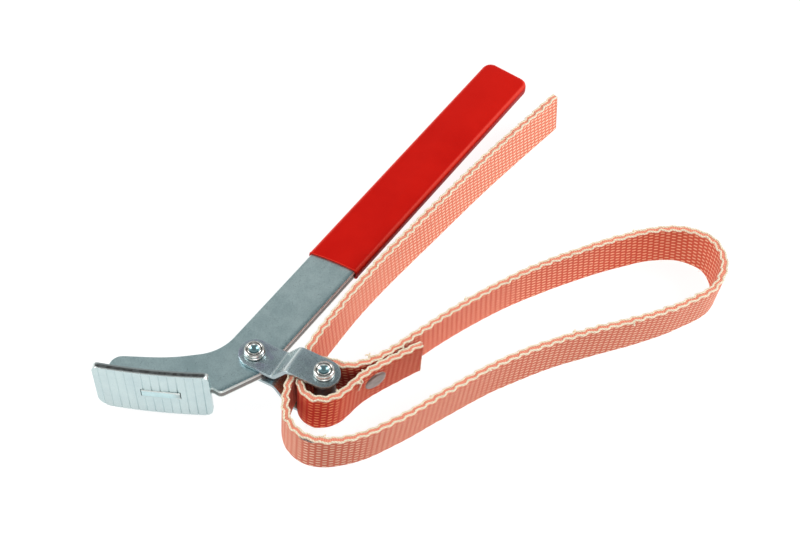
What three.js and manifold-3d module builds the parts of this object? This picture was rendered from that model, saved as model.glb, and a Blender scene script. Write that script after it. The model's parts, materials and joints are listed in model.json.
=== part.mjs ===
// Strap-type oil filter wrench: a flat lever with a dipped grip and a grooved heel pad, a pair of joggled
// links that pivot on the lever, and a webbing strap that is riveted into an eye round the links' outer pin,
// loops out, and comes back through the throat between the links as a free tail.
// Units are millimetres, +Z is up. The design frame has its origin on the pivot pin's axis at the middle of
// the lever's thickness, +X runs along the handle towards the grip, +Y towards the heel pad's side.
import * as THREE from 'three';
import { mergeVertices } from 'three/addons/utils/BufferGeometryUtils.js';
import Module from 'manifold-3d';

const wasm = await Module();
wasm.setup();

// ---- driving dimensions ----
const GAP = 0.3; // between touching pieces
const RAD = Math.PI / 180;

// lever plate
const PLATE_T = 4.8;
const PLATE_Y_LOW = -9.3;
const PLATE_Y_HIGH = 14.6;
const PLATE_END_X = 217.6;
const PLATE_CORNER_R = 4;
const HANDLE_TURN = 0.24 * RAD; // the handle is bent this little towards the heel pad's side
const EDGE_BREAK = 0.45; // broken edges of the pressed plates

// grip sleeve
const GRIP_START_X = 64.5;
const GRIP_COAT = 1.2; // from the steel to the outer surface
const GRIP_FIT = 0.3; // clearance between the steel and the sleeve's bore
const GRIP_ROUND = 2.4;

// heel pad, placed by the middle of its outer face
const HEEL_MID = new THREE.Vector2(-43.42, 26.29);
const HEEL_OUT_ANGLE = 209.2 * RAD; // direction that the grooved face looks
const HEEL_LENGTH = 54.7;
const HEEL_HEIGHT = 32;
const HEEL_T = 3;
const HEEL_CROWN_R = 300;
const HEEL_CORNER_R = 3.2;
const HEEL_LEFT_LOW_CORNER_R = 6.6; // the two lower corners are rounder
const HEEL_RIGHT_LOW_CORNER_R = 4.2;
const GROOVES = 13;
const GROOVE_PITCH = 4.05;
const GROOVE_DEPTH = 0.28;
const GROOVE_HALF_WIDTH = 0.3;
const TENON_LENGTH = 18.4;
const TENON_SHIFT = 3.95; // from the pad's middle towards its lower end
const TENON_PROUD = 0.35;

// links
const PIN_SPACING = 38.1;
const LINK_ANGLE = -83.1 * RAD; // from the pivot pin to the strap pin
const LINK_WIDTH = 15.4;
const LINK_T = 2;
const LINK_RISE = 10.8;
const JOGGLE_START = 13.8; // from the pivot pin
const JOGGLE_RUN = 7.6;
const JOGGLE_R = 2.2; // inside radius of the two bends

// pins, collars and spacer
const PIN_R = 3.3;
const PIN_HOLE_R = PIN_R + GAP;
const COLLAR_R = 4.85;
const COLLAR_H = 3;
const DIMPLE_R = 2.65;
const DIMPLE_DEPTH = 1.15;
const SPACER_R = 5.2;

// webbing strap
const STRAP_WIDTH = 25;
const STRAP_T = 3.2;
const RIVET_HEAD_R = 5.8;
const RIVET_SHANK_R = 2.4;
const WASHER_R = 4.4;
const WASHER_LIFT = 1.3; // it bridges the slight curve of the layer under it
const RIVET_RISE = 2.5; // above the webbing's middle line
const STRAP_SAG = 5.9; // how far the loop's and the tail's far ends have settled towards the surface
const SAG_START = 20; // plan distances from the strap pin between which it settles
const SAG_END = 170;

// ---- derived levels ----
const LINK_LOW_Z = PLATE_T / 2 + GAP; // inner face of a link at the pivot
const LINK_HIGH_Z = LINK_LOW_Z + LINK_RISE; // inner face of a link at the strap
const PIVOT = new THREE.Vector2(0, 0);
const STRAP_PIN = new THREE.Vector2(Math.cos(LINK_ANGLE), Math.sin(LINK_ANGLE)).multiplyScalar(PIN_SPACING);

// ---- materials ----
const zinc = (color, roughness) => new THREE.MeshStandardMaterial({ color, roughness, metalness: 0.9 });
const MATERIALS = {
  plate: zinc(0x8fa0a3, 0.42),
  heel: zinc(0xc4d6d8, 0.38),
  link: zinc(0x93a3ac, 0.36),
  pin: zinc(0xd2d2cc, 0.22),
  rivet: zinc(0x9a8f8a, 0.35),
  spacer: zinc(0x8d8f90, 0.45),
  grip: new THREE.MeshStandardMaterial({ color: 0xd0140c, roughness: 0.38, metalness: 0 }),
  webbing: new THREE.MeshStandardMaterial({ color: 0xe8937c, roughness: 0.85, metalness: 0 }),
};

// ---- helpers ----
function toSolid(geometry) {
  const bare = geometry.clone();
  bare.deleteAttribute('normal');
  bare.deleteAttribute('uv');
  const merged = mergeVertices(bare, 1e-4);
  return new wasm.Manifold(new wasm.Mesh({
    numProp: 3,
    vertProperties: new Float32Array(merged.attributes.position.array),
    triVerts: new Uint32Array(merged.index.array),
  }));
}

function toGeometry(solid) {
  const mesh = solid.getMesh();
  const geometry = new THREE.BufferGeometry();
  geometry.setAttribute('position', new THREE.BufferAttribute(new Float32Array(mesh.vertProperties), 3));
  geometry.setIndex(new THREE.BufferAttribute(new Uint32Array(mesh.triVerts), 1));
  geometry.computeVertexNormals();
  return geometry;
}

// A plan outline extruded upwards from z0, with its long edges broken by `edge`.
function slab(shape, z0, height, edge = 0, steps = 1, curveSegments = 10) {
  const geometry = new THREE.ExtrudeGeometry(shape, {
    depth: height - 2 * edge,
    bevelEnabled: edge > 0,
    bevelSize: edge,
    bevelThickness: edge,
    bevelOffset: -edge,
    bevelSegments: steps,
    curveSegments,
  });
  geometry.translate(0, 0, z0 + edge);
  return geometry;
}

function circleHole(x, y, radius) {
  const hole = new THREE.Path();
  hole.absarc(x, y, radius, 0, 2 * Math.PI, true);
  return hole;
}

// A closed outline through corner points, each [x, y, radius], with the corners rounded by arcs.
function roundedShape(corners) {
  const shape = new THREE.Shape();
  corners.forEach(([x, y, radius], i) => {
    const corner = new THREE.Vector2(x, y);
    const before = corners[(i + corners.length - 1) % corners.length];
    const after = corners[(i + 1) % corners.length];
    const toBefore = new THREE.Vector2(before[0] - x, before[1] - y).normalize();
    const toAfter = new THREE.Vector2(after[0] - x, after[1] - y).normalize();
    if (radius === 0) {
      if (i === 0) shape.moveTo(x, y);
      else shape.lineTo(x, y);
      return;
    }
    const half = Math.acos(THREE.MathUtils.clamp(toBefore.dot(toAfter), -1, 1)) / 2;
    const reach = radius / Math.tan(half);
    const start = corner.clone().addScaledVector(toBefore, reach);
    const end = corner.clone().addScaledVector(toAfter, reach);
    const middle = toBefore.clone().add(toAfter).normalize();
    const centre = corner.clone().addScaledVector(middle, radius / Math.sin(half));
    const a0 = Math.atan2(start.y - centre.y, start.x - centre.x);
    const a1 = Math.atan2(end.y - centre.y, end.x - centre.x);
    const clockwise = toBefore.cross(toAfter) > 0;
    if (i === 0) shape.moveTo(start.x, start.y);
    else shape.lineTo(start.x, start.y);
    shape.absarc(centre.x, centre.y, radius, a0, a1, clockwise);
  });
  shape.closePath();
  return shape;
}

// ---- lever plate ----
// Unit vectors of the heel pad: outward from the grooved face, and along the pad towards its lower end.
const heelOut = new THREE.Vector2(Math.cos(HEEL_OUT_ANGLE), Math.sin(HEEL_OUT_ANGLE));
const heelAlong = new THREE.Vector2(-heelOut.y, heelOut.x);
const heelPoint = (along, out) => HEEL_MID.clone().addScaledVector(heelAlong, along).addScaledVector(heelOut, out);

// The head's end follows the pad's crowned back face, one gap away from it.
const seatPoint = (along) => heelPoint(along, -(HEEL_T + GAP) - along ** 2 / (2 * HEEL_CROWN_R));

// A point of the handle, turned with it about the pivot pin.
function turned(x, y) {
  return new THREE.Vector2(x, y).rotateAround(PIVOT, HANDLE_TURN);
}

function leverShape() {
  const shoulder = heelPoint(-22.95, -9);
  const seatTop = seatPoint(-22.95);
  const tenonTop = TENON_SHIFT - TENON_LENGTH / 2;
  const tenonLow = TENON_SHIFT + TENON_LENGTH / 2;
  const tipTop = heelPoint(tenonTop, TENON_PROUD);
  const tipLow = heelPoint(tenonLow, TENON_PROUD);
  const rootTop = seatPoint(tenonTop);
  const rootLow = seatPoint(tenonLow);
  const seatLow = seatPoint(27.85);
  const endLow = turned(PLATE_END_X, PLATE_Y_LOW);
  const endHigh = turned(PLATE_END_X, PLATE_Y_HIGH);
  return roundedShape([
    [-5.0, PLATE_Y_LOW, 9],
    [endLow.x, endLow.y, PLATE_CORNER_R],
    [endHigh.x, endHigh.y, PLATE_CORNER_R],
    [-7.6, PLATE_Y_HIGH, 23],
    [-24.3, 31.7, 90],
    [-39.7, 55.3, 6.5],
    [shoulder.x, shoulder.y, 4],
    [seatTop.x, seatTop.y, 0.8],
    [rootTop.x, rootTop.y, 0],
    [tipTop.x, tipTop.y, 0.6],
    [tipLow.x, tipLow.y, 0.6],
    [rootLow.x, rootLow.y, 0],
    [seatLow.x, seatLow.y, 1.6],
    [-25.6, -0.1, 2.6],
  ]);
}

function leverPlate() {
  const shape = leverShape();
  shape.holes.push(circleHole(PIVOT.x, PIVOT.y, PIN_HOLE_R));
  return slab(shape, -PLATE_T / 2, PLATE_T, EDGE_BREAK, 1, 8);
}

// ---- grip sleeve ----
// Plan outline of the sleeve or its bore, `grow` outside the steel, with a square mouth at startX.
function gripShape(grow, startX) {
  const low = PLATE_Y_LOW - grow;
  const high = PLATE_Y_HIGH + grow;
  const end = PLATE_END_X + grow;
  const radius = PLATE_CORNER_R + grow;
  const shape = new THREE.Shape();
  shape.moveTo(startX, low);
  shape.lineTo(end - radius, low);
  shape.absarc(end - radius, low + radius, radius, -Math.PI / 2, 0, false);
  shape.lineTo(end, high - radius);
  shape.absarc(end - radius, high - radius, radius, 0, Math.PI / 2, false);
  shape.lineTo(startX, high);
  shape.closePath();
  return shape;
}

// What the mouth leaves: it is cut on a slight slant with a shallow bow, as a dipped coat ends.
function gripTrim() {
  const slant = 1.9;
  const low = PLATE_Y_LOW - 10;
  const high = PLATE_Y_HIGH + 10;
  const shape = new THREE.Shape();
  shape.moveTo(PLATE_END_X + 10, low);
  shape.lineTo(PLATE_END_X + 10, high);
  shape.lineTo(GRIP_START_X - 1.8 * slant, high);
  shape.lineTo(GRIP_START_X - slant, PLATE_Y_HIGH);
  shape.quadraticCurveTo(GRIP_START_X + 1.2, (PLATE_Y_LOW + PLATE_Y_HIGH) / 2 + 2, GRIP_START_X + slant, PLATE_Y_LOW);
  shape.lineTo(GRIP_START_X + 1.8 * slant, low);
  shape.closePath();
  return shape;
}

function gripSleeve() {
  const mouthSpare = 20;
  const half = PLATE_T / 2;
  const coated = toSolid(slab(gripShape(GRIP_COAT, GRIP_START_X - mouthSpare), -half - GRIP_COAT,
    PLATE_T + 2 * GRIP_COAT, GRIP_ROUND, 4));
  const bore = toSolid(slab(gripShape(GRIP_FIT, GRIP_START_X - 2 * mouthSpare), -half - GRIP_FIT,
    PLATE_T + 2 * GRIP_FIT));
  const trim = toSolid(slab(gripTrim(), -20, 40));
  const sleeve = toGeometry(coated.intersect(trim).subtract(bore));
  sleeve.rotateZ(HANDLE_TURN);
  return sleeve;
}

// ---- heel pad ----
// Plan outline: two concentric arcs, the outer one notched by the grooves.
function heelPlan() {
  const centre = heelPoint(0, -HEEL_CROWN_R);
  const at = (along, out) => {
    const turn = along / HEEL_CROWN_R;
    const radius = HEEL_CROWN_R + out;
    const dir = heelOut.clone().multiplyScalar(Math.cos(turn)).addScaledVector(heelAlong, Math.sin(turn));
    return centre.clone().addScaledVector(dir, radius);
  };
  const points = [at(-HEEL_LENGTH / 2, 0)];
  for (let i = 0; i < GROOVES; i += 1) {
    const along = (i - (GROOVES - 1) / 2) * GROOVE_PITCH;
    points.push(at(along - GROOVE_HALF_WIDTH, 0));
    points.push(at(along, -GROOVE_DEPTH));
    points.push(at(along + GROOVE_HALF_WIDTH, 0));
  }
  points.push(at(HEEL_LENGTH / 2, 0));
  const backSteps = 8;
  for (let i = 0; i <= backSteps; i += 1) {
    points.push(at(HEEL_LENGTH * (0.5 - i / backSteps), -HEEL_T));
  }
  return new THREE.Shape(points);
}

function heelPad() {
  const band = toSolid(slab(heelPlan(), -HEEL_HEIGHT / 2, HEEL_HEIGHT));
  const halfL = HEEL_LENGTH / 2 - 0.05;
  const halfH = HEEL_HEIGHT / 2;
  const face = roundedShape([
    [-halfL, -halfH, HEEL_LEFT_LOW_CORNER_R],
    [halfL, -halfH, HEEL_RIGHT_LOW_CORNER_R],
    [halfL, halfH, HEEL_CORNER_R],
    [-halfL, halfH, HEEL_CORNER_R],
  ]);
  const slotHalf = TENON_LENGTH / 2 + GAP;
  const slotHalfHeight = PLATE_T / 2 + GAP;
  const slot = new THREE.Path();
  slot.moveTo(TENON_SHIFT - slotHalf, -slotHalfHeight);
  slot.lineTo(TENON_SHIFT - slotHalf, slotHalfHeight);
  slot.lineTo(TENON_SHIFT + slotHalf, slotHalfHeight);
  slot.lineTo(TENON_SHIFT + slotHalf, -slotHalfHeight);
  slot.closePath();
  face.holes.push(slot);
  const block = slab(face, -12, 18);
  // local x along the pad, local y up, local z outward
  const basis = new THREE.Matrix4().makeBasis(
    new THREE.Vector3(heelAlong.x, heelAlong.y, 0),
    new THREE.Vector3(0, 0, 1),
    new THREE.Vector3(heelOut.x, heelOut.y, 0),
  );
  basis.setPosition(HEEL_MID.x, HEEL_MID.y, 0);
  block.applyMatrix4(basis);
  return toGeometry(band.intersect(toSolid(block)));
}

// ---- links ----
// Side profile of the upper link in the plane of its length and height, both bends rounded.
function linkProfile() {
  const x0 = -LINK_WIDTH;
  const x1 = PIN_SPACING + LINK_WIDTH;
  const slope = Math.atan2(LINK_RISE, JOGGLE_RUN);
  const shift = LINK_T * Math.tan(slope / 2);
  const top = LINK_LOW_Z + LINK_T;
  const valley = JOGGLE_START;
  const ridge = JOGGLE_START + JOGGLE_RUN;
  return roundedShape([
    [x0, LINK_LOW_Z, 0],
    [valley + shift, LINK_LOW_Z, JOGGLE_R + LINK_T],
    [ridge + shift, LINK_HIGH_Z, JOGGLE_R],
    [x1, LINK_HIGH_Z, 0],
    [x1, LINK_HIGH_Z + LINK_T, 0],
    [ridge, top + LINK_RISE, JOGGLE_R + LINK_T],
    [valley, top, JOGGLE_R],
    [x0, top, 0],
  ]);
}

function upperLink() {
  const bent = new THREE.ExtrudeGeometry(linkProfile(), {
    depth: 2 * LINK_WIDTH,
    bevelEnabled: false,
    curveSegments: 5,
  });
  bent.translate(0, 0, -LINK_WIDTH);
  bent.rotateX(Math.PI / 2); // profile height becomes +Z
  const plan = new THREE.Shape();
  const half = LINK_WIDTH / 2;
  plan.moveTo(0, -half);
  plan.lineTo(PIN_SPACING, -half);
  plan.absarc(PIN_SPACING, 0, half, -Math.PI / 2, Math.PI / 2, false);
  plan.lineTo(0, half);
  plan.absarc(0, 0, half, Math.PI / 2, 1.5 * Math.PI, false);
  plan.holes.push(circleHole(0, 0, PIN_HOLE_R));
  plan.holes.push(circleHole(PIN_SPACING, 0, PIN_HOLE_R));
  const column = slab(plan, -30, 60, 0, 1, 16);
  const geometry = toGeometry(toSolid(bent).intersect(toSolid(column)));
  geometry.rotateZ(LINK_ANGLE);
  return geometry;
}

// Mirror a closed geometry through z = 0 and turn its faces the right way again.
function mirroredZ(geometry) {
  const copy = geometry.clone();
  copy.scale(1, 1, -1);
  const index = copy.index.array;
  for (let i = 0; i < index.length; i += 3) {
    const keep = index[i];
    index[i] = index[i + 1];
    index[i + 1] = keep;
  }
  copy.computeVertexNormals();
  return copy;
}

// ---- pins, collars, spacer ----
function lathe(points, segments = 28) {
  const geometry = new THREE.LatheGeometry(points.map(([r, z]) => new THREE.Vector2(r, z)), segments);
  geometry.rotateX(Math.PI / 2);
  return geometry;
}

// A pin whose two ends stand flush in their collars and carry a round dimple.
function pin(halfLength) {
  const lip = 0.3;
  const dimple = [];
  const steps = 5;
  const ballR = (DIMPLE_R ** 2 + DIMPLE_DEPTH ** 2) / (2 * DIMPLE_DEPTH);
  const span = Math.asin(DIMPLE_R / ballR);
  for (let i = 0; i <= steps; i += 1) {
    const a = (span * i) / steps;
    dimple.push([ballR * Math.sin(a), DIMPLE_DEPTH - ballR * (1 - Math.cos(a))]);
  }
  const end = dimple.map(([r, deep]) => [r, halfLength - deep]);
  const points = [
    ...end,
    [PIN_R - lip, halfLength],
    [PIN_R, halfLength - lip],
  ];
  const lower = points.map(([r, z]) => [r, -z]);
  return lathe([...lower, ...points.reverse()]);
}

// A stepped ring: a flange on the link, a shallow neck and a rounded rim.
function collar(z0) {
  const bore = PIN_R + GAP;
  const points = [
    [bore, z0],
    [COLLAR_R, z0],
    [COLLAR_R + 0.1, z0 + 0.2],
    [COLLAR_R, z0 + 0.95],
    [COLLAR_R - 0.4, z0 + 1.2],
    [COLLAR_R - 0.1, z0 + 1.45],
    [COLLAR_R - 0.05, z0 + COLLAR_H - 0.6],
    [COLLAR_R - 0.3, z0 + COLLAR_H - 0.15],
    [COLLAR_R - 0.75, z0 + COLLAR_H],
    [bore + 0.25, z0 + COLLAR_H],
    [bore, z0 + COLLAR_H - 0.1],
    [bore, z0],
  ];
  return lathe(points);
}

function spacer() {
  const half = LINK_HIGH_Z - GAP;
  const points = [
    [PIN_HOLE_R, -half],
    [SPACER_R - 0.3, -half],
    [SPACER_R, -half + 0.3],
    [SPACER_R, half - 0.3],
    [SPACER_R - 0.3, half],
    [PIN_HOLE_R, half],
    [PIN_HOLE_R, -half],
  ];
  return lathe(points);
}

// ---- webbing strap ----
// Centre line of the webbing in plan, from the riveted short end to the tail's tip.
const STRAP_ROUTE = [
  // riveted short end
  [46.4, -62.7], [39.1, -59.7], [32.0, -56.9], [25.4, -54.4], [19.2, -52.3], [12.9, -50.8],
  // eye round the strap pin
  [6.2, -50.0], [0.1, -48.6], [-5.0, -44.9], [-7.6, -39.1], [-6.0, -32.6], [-1.6, -29.0], [4.0, -28.2],
  [10.4, -30.6], [13.6, -35.4], [15.0, -40.4],
  // back run
  [17.6, -44.4], [21.4, -47.5], [26.2, -50.3], [32.4, -52.8], [40.4, -55.1], [54.1, -58.6], [82.5, -66.9],
  [110.7, -77.8], [135.2, -90.4], [154.2, -101.8],
  // far turn
  [170.8, -114.4], [180.3, -127.3], [182.2, -140.8], [174.1, -152.2], [160.0, -155.9],
  // front run
  [141.3, -148.9], [122.7, -137.5], [102.4, -122.9], [84.7, -110.9], [59.2, -97.4], [33.0, -87.5], [7.7, -78.5],
  // near turn
  [-9.2, -70.2], [-18.9, -62.0], [-24.2, -53.2], [-25.2, -46.0], [-23.0, -38.8], [-18.6, -33.4], [-12.4, -28.8],
  // throat between the links
  [-4.4, -25.4], [4.0, -23.5], [10.4, -22.5], [15.9, -21.7],
  // tail
  [25.0, -20.5], [52.4, -18.5], [83.3, -18.4], [120.3, -19.6], [168.8, -22.1], [216, -27.1],
];
const strapCurve = new THREE.CatmullRomCurve3(
  STRAP_ROUTE.map(([x, y]) => new THREE.Vector3(x, y, 0)), false, 'centripetal');
strapCurve.arcLengthDivisions = 4000;
const strapLength = strapCurve.getLength();

// Distance along the strap of the place nearest to a plan point, searched from `from` mm on.
function strapAt(x, y, from = 0) {
  const steps = 3000;
  let best = from;
  let bestGap = Infinity;
  for (let i = 0; i <= steps; i += 1) {
    const s = from + ((strapLength - from) * i) / steps;
    const p = strapCurve.getPointAt(Math.min(1, s / strapLength));
    const gap = Math.hypot(p.x - x, p.y - y);
    if (gap < bestGap) {
      bestGap = gap;
      best = s;
    }
  }
  return best;
}

function strapFrame(s) {
  const u = THREE.MathUtils.clamp(s / strapLength, 0, 1);
  const p = strapCurve.getPointAt(u);
  const t = strapCurve.getTangentAt(u);
  return { p, n: new THREE.Vector3(-t.y, t.x, 0).normalize() };
}

// Height of the webbing's middle line: it lies on the surface far from the pin, and level beside the pin.
function strapHeight(x, y) {
  const away = Math.hypot(x - STRAP_PIN.x, y - STRAP_PIN.y);
  return -STRAP_SAG * THREE.MathUtils.clamp((away - SAG_START) / (SAG_END - SAG_START), 0, 1);
}

// One stretch of webbing between two distances along the strap, standing on edge: a ring of four corners
// at each step, closed by a square cap at either end.
function strapStretch(s0, s1, step, hole = null) {
  const count = Math.max(2, Math.ceil((s1 - s0) / step));
  const corners = [];
  for (let i = 0; i <= count; i += 1) {
    const { p, n } = strapFrame(s0 + ((s1 - s0) * i) / count);
    const z = strapHeight(p.x, p.y);
    [[1, 1], [-1, 1], [-1, -1], [1, -1]].forEach(([side, up]) => {
      const out = (side * STRAP_T) / 2;
      corners.push(p.x + n.x * out, p.y + n.y * out, z + (up * STRAP_WIDTH) / 2);
    });
  }
  const last = 4 * count;
  const faces = [0, 3, 2, 0, 2, 1, last, last + 1, last + 2, last, last + 2, last + 3];
  for (let i = 0; i < count; i += 1) {
    for (let k = 0; k < 4; k += 1) {
      const a = 4 * i + k;
      const b = 4 * i + ((k + 1) % 4);
      faces.push(a, b, b + 4, a, b + 4, a + 4);
    }
  }
  const geometry = new THREE.BufferGeometry();
  geometry.setAttribute('position', new THREE.Float32BufferAttribute(corners, 3));
  geometry.setIndex(faces);
  geometry.computeVertexNormals();
  if (!hole) return geometry;
  return toGeometry(toSolid(geometry).subtract(toSolid(hole)));
}

const sRivet = strapAt(22.2, -53.3);
const sEyeStart = strapAt(11.6, -50.6);
const sEyeEnd = strapAt(15.8, -42.1, sEyeStart + 20);
const sBackEnd = strapAt(144.6, -96.0, sEyeEnd);
const sFarEnd = strapAt(145.0, -150.2, sBackEnd + 10);
const sFrontEnd = strapAt(7.7, -78.5, sFarEnd);
const sNearEnd = strapAt(-9.8, -27.5, sFrontEnd + 10);
const sThroatEnd = strapAt(18.5, -21.3, sNearEnd);

const rivetFrame = strapFrame(sRivet);
// The layers' common normal at the rivet, pointing from the short end to the back run.
const rivetDir = rivetFrame.n.clone();
const besideRivet = rivetFrame.p.clone().addScaledVector(rivetDir, 3.5);
const backAtRivet = strapFrame(strapAt(besideRivet.x, besideRivet.y, sEyeEnd));
if (backAtRivet.p.clone().sub(rivetFrame.p).dot(rivetDir) < 0) rivetDir.negate();
const layerPitch = backAtRivet.p.clone().sub(rivetFrame.p).dot(rivetDir);

// Bring a lathe made along +Z to the rivet's axis, with z = 0 at the short end's centre line.
function onRivetAxis(geometry) {
  const turn = new THREE.Quaternion().setFromUnitVectors(new THREE.Vector3(0, 0, 1), rivetDir);
  geometry.applyQuaternion(turn);
  const z = strapHeight(rivetFrame.p.x, rivetFrame.p.y) + RIVET_RISE;
  geometry.translate(rivetFrame.p.x, rivetFrame.p.y, z);
  return geometry;
}

const headFace = -(STRAP_T / 2 + GAP);
const washerFace = layerPitch + STRAP_T / 2 + GAP + WASHER_LIFT;

function strapRivet() {
  const points = [
    [0, headFace - 1.0],
    [RIVET_HEAD_R * 0.6, headFace - 0.9],
    [RIVET_HEAD_R * 0.92, headFace - 0.6],
    [RIVET_HEAD_R, headFace - 0.15],
    [RIVET_HEAD_R - 0.2, headFace],
    [RIVET_SHANK_R, headFace],
    [RIVET_SHANK_R, washerFace + 1.6],
    [RIVET_SHANK_R - 0.4, washerFace + 2.0],
    [0, washerFace + 2.0],
  ];
  return onRivetAxis(lathe(points, 28));
}

function rivetWasher() {
  const bore = RIVET_SHANK_R + GAP;
  const points = [
    [bore, washerFace],
    [WASHER_R, washerFace],
    [WASHER_R, washerFace + 0.6],
    [WASHER_R - 0.3, washerFace + 0.9],
    [bore, washerFace + 0.9],
    [bore, washerFace],
  ];
  return onRivetAxis(lathe(points, 28));
}

function rivetHole() {
  const hole = new THREE.CylinderGeometry(RIVET_SHANK_R + GAP, RIVET_SHANK_R + GAP, 16, 28);
  hole.rotateX(Math.PI / 2);
  hole.translate(0, 0, layerPitch / 2);
  return onRivetAxis(hole);
}

// ---- assembly ----
const design = new THREE.Group();

function add(parent, name, geometry, material) {
  const mesh = new THREE.Mesh(geometry, material);
  mesh.name = name;
  parent.add(mesh);
  return mesh;
}

add(design, 'lever_plate', leverPlate(), MATERIALS.plate);
add(design, 'grip_sleeve', gripSleeve(), MATERIALS.grip);
add(design, 'heel_pad', heelPad(), MATERIALS.heel);

const link = upperLink();
add(design, 'upper_link', link, MATERIALS.link);
add(design, 'lower_link', mirroredZ(link), MATERIALS.link);

const fixings = [
  { name: 'pivot', at: PIVOT, seat: LINK_LOW_Z + LINK_T + GAP },
  { name: 'strap', at: STRAP_PIN, seat: LINK_HIGH_Z + LINK_T + GAP },
];
fixings.forEach(({ name, at, seat }) => {
  const place = new THREE.Group();
  place.position.set(at.x, at.y, 0);
  design.add(place);
  add(place, `${name}_pin`, pin(seat + COLLAR_H), MATERIALS.pin);
  add(place, `${name}_pin_collar_upper`, collar(seat), MATERIALS.pin);
  const under = add(place, `${name}_pin_collar_lower`, collar(seat), MATERIALS.pin);
  under.rotation.x = Math.PI;
  if (name === 'strap') add(place, 'spacer_sleeve', spacer(), MATERIALS.spacer);
});

add(design, 'strap_rivet', strapRivet(), MATERIALS.rivet);
add(design, 'rivet_washer', rivetWasher(), MATERIALS.rivet);

const stretches = [
  { name: 'strap_short_end', from: 0, to: sEyeStart - GAP, step: 3, pierced: true },
  { name: 'strap_eye', from: sEyeStart, to: sEyeEnd - GAP, step: 2.2 },
  { name: 'strap_back_run', from: sEyeEnd, to: sBackEnd - GAP, step: 6, pierced: true },
  { name: 'strap_far_turn', from: sBackEnd, to: sFarEnd - GAP, step: 4 },
  { name: 'strap_front_run', from: sFarEnd, to: sFrontEnd - GAP, step: 6 },
  { name: 'strap_near_turn', from: sFrontEnd, to: sNearEnd - GAP, step: 3 },
  { name: 'strap_throat', from: sNearEnd, to: sThroatEnd - GAP, step: 3 },
  { name: 'strap_tail', from: sThroatEnd, to: strapLength, step: 8 },
];
stretches.forEach(({ name, from, to, step, pierced }) => {
  add(design, name, strapStretch(from, to, step, pierced ? rivetHole() : null), MATERIALS.webbing);
});

// The stored frame stands the wrench on z = 0 with its box centred on x = 0, y = 0.
design.updateMatrixWorld(true);
const box = new THREE.Box3().setFromObject(design, true);
const middle = box.getCenter(new THREE.Vector3());
design.position.set(-middle.x, -middle.y, -box.min.z);

const wrench = new THREE.Group();
wrench.add(design);
export default wrench;
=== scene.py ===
"""Oil filter wrench, strap type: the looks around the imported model.

Lengths in the constants are millimetres in the design frame: the origin is on the pivot pin's axis at the
middle of the lever's thickness, +X runs along the handle and +Z is up. at() turns such a point into metres
in the row frame.
"""
import json
import math

import bmesh
import bpy
import numpy as np
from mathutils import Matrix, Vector


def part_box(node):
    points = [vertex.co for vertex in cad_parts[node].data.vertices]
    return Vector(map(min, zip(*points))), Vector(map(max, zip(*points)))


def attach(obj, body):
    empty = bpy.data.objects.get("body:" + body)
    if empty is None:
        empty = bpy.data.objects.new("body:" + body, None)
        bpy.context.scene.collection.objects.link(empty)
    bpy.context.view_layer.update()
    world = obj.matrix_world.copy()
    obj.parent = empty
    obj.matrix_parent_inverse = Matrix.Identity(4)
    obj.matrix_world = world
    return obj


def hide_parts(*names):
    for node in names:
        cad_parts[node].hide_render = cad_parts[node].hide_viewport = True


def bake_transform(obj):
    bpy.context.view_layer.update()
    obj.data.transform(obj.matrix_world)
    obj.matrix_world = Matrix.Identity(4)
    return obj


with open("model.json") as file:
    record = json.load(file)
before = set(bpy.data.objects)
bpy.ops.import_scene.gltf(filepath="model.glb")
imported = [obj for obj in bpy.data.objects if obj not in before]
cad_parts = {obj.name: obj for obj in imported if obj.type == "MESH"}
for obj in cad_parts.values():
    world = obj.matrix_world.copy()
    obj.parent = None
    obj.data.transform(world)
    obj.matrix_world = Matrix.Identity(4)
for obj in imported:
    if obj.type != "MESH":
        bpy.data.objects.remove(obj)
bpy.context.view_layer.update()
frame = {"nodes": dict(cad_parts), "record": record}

MM = 0.001
TAU = 2 * math.pi
rng = np.random.default_rng(11)
collection = bpy.context.scene.collection

pin_low, pin_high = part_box("pivot_pin")
ORIGIN = np.array((pin_low + pin_high) / 2)
strap_low, strap_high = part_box("strap_pin")
STRAP_PIN = (np.array((strap_low + strap_high) / 2) - ORIGIN)[:2] / MM


def at(points):
    """Design millimetres to row-frame metres."""
    return np.asarray(points, float) * MM + ORIGIN


# ---- camera ----
CAMERA_AT = (-338.3, -329.1, 706.75)
CAMERA_ALONG = (0.8098, 0.5867)  # level part of the viewing direction
CAMERA_DOWN = math.radians(53.63)
LENS = 81

camera = bpy.data.objects.new("camera", bpy.data.cameras.new("camera"))
collection.objects.link(camera)
camera.data.lens = LENS
camera.data.sensor_width = 36
camera.data.clip_start = 0.01
camera.location = Vector(at(CAMERA_AT))
level = math.cos(CAMERA_DOWN)
looking = Vector((CAMERA_ALONG[0] * level, CAMERA_ALONG[1] * level, -math.sin(CAMERA_DOWN)))
camera.rotation_euler = looking.to_track_quat("-Z", "Y").to_euler()
bpy.context.scene.camera = camera

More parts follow.
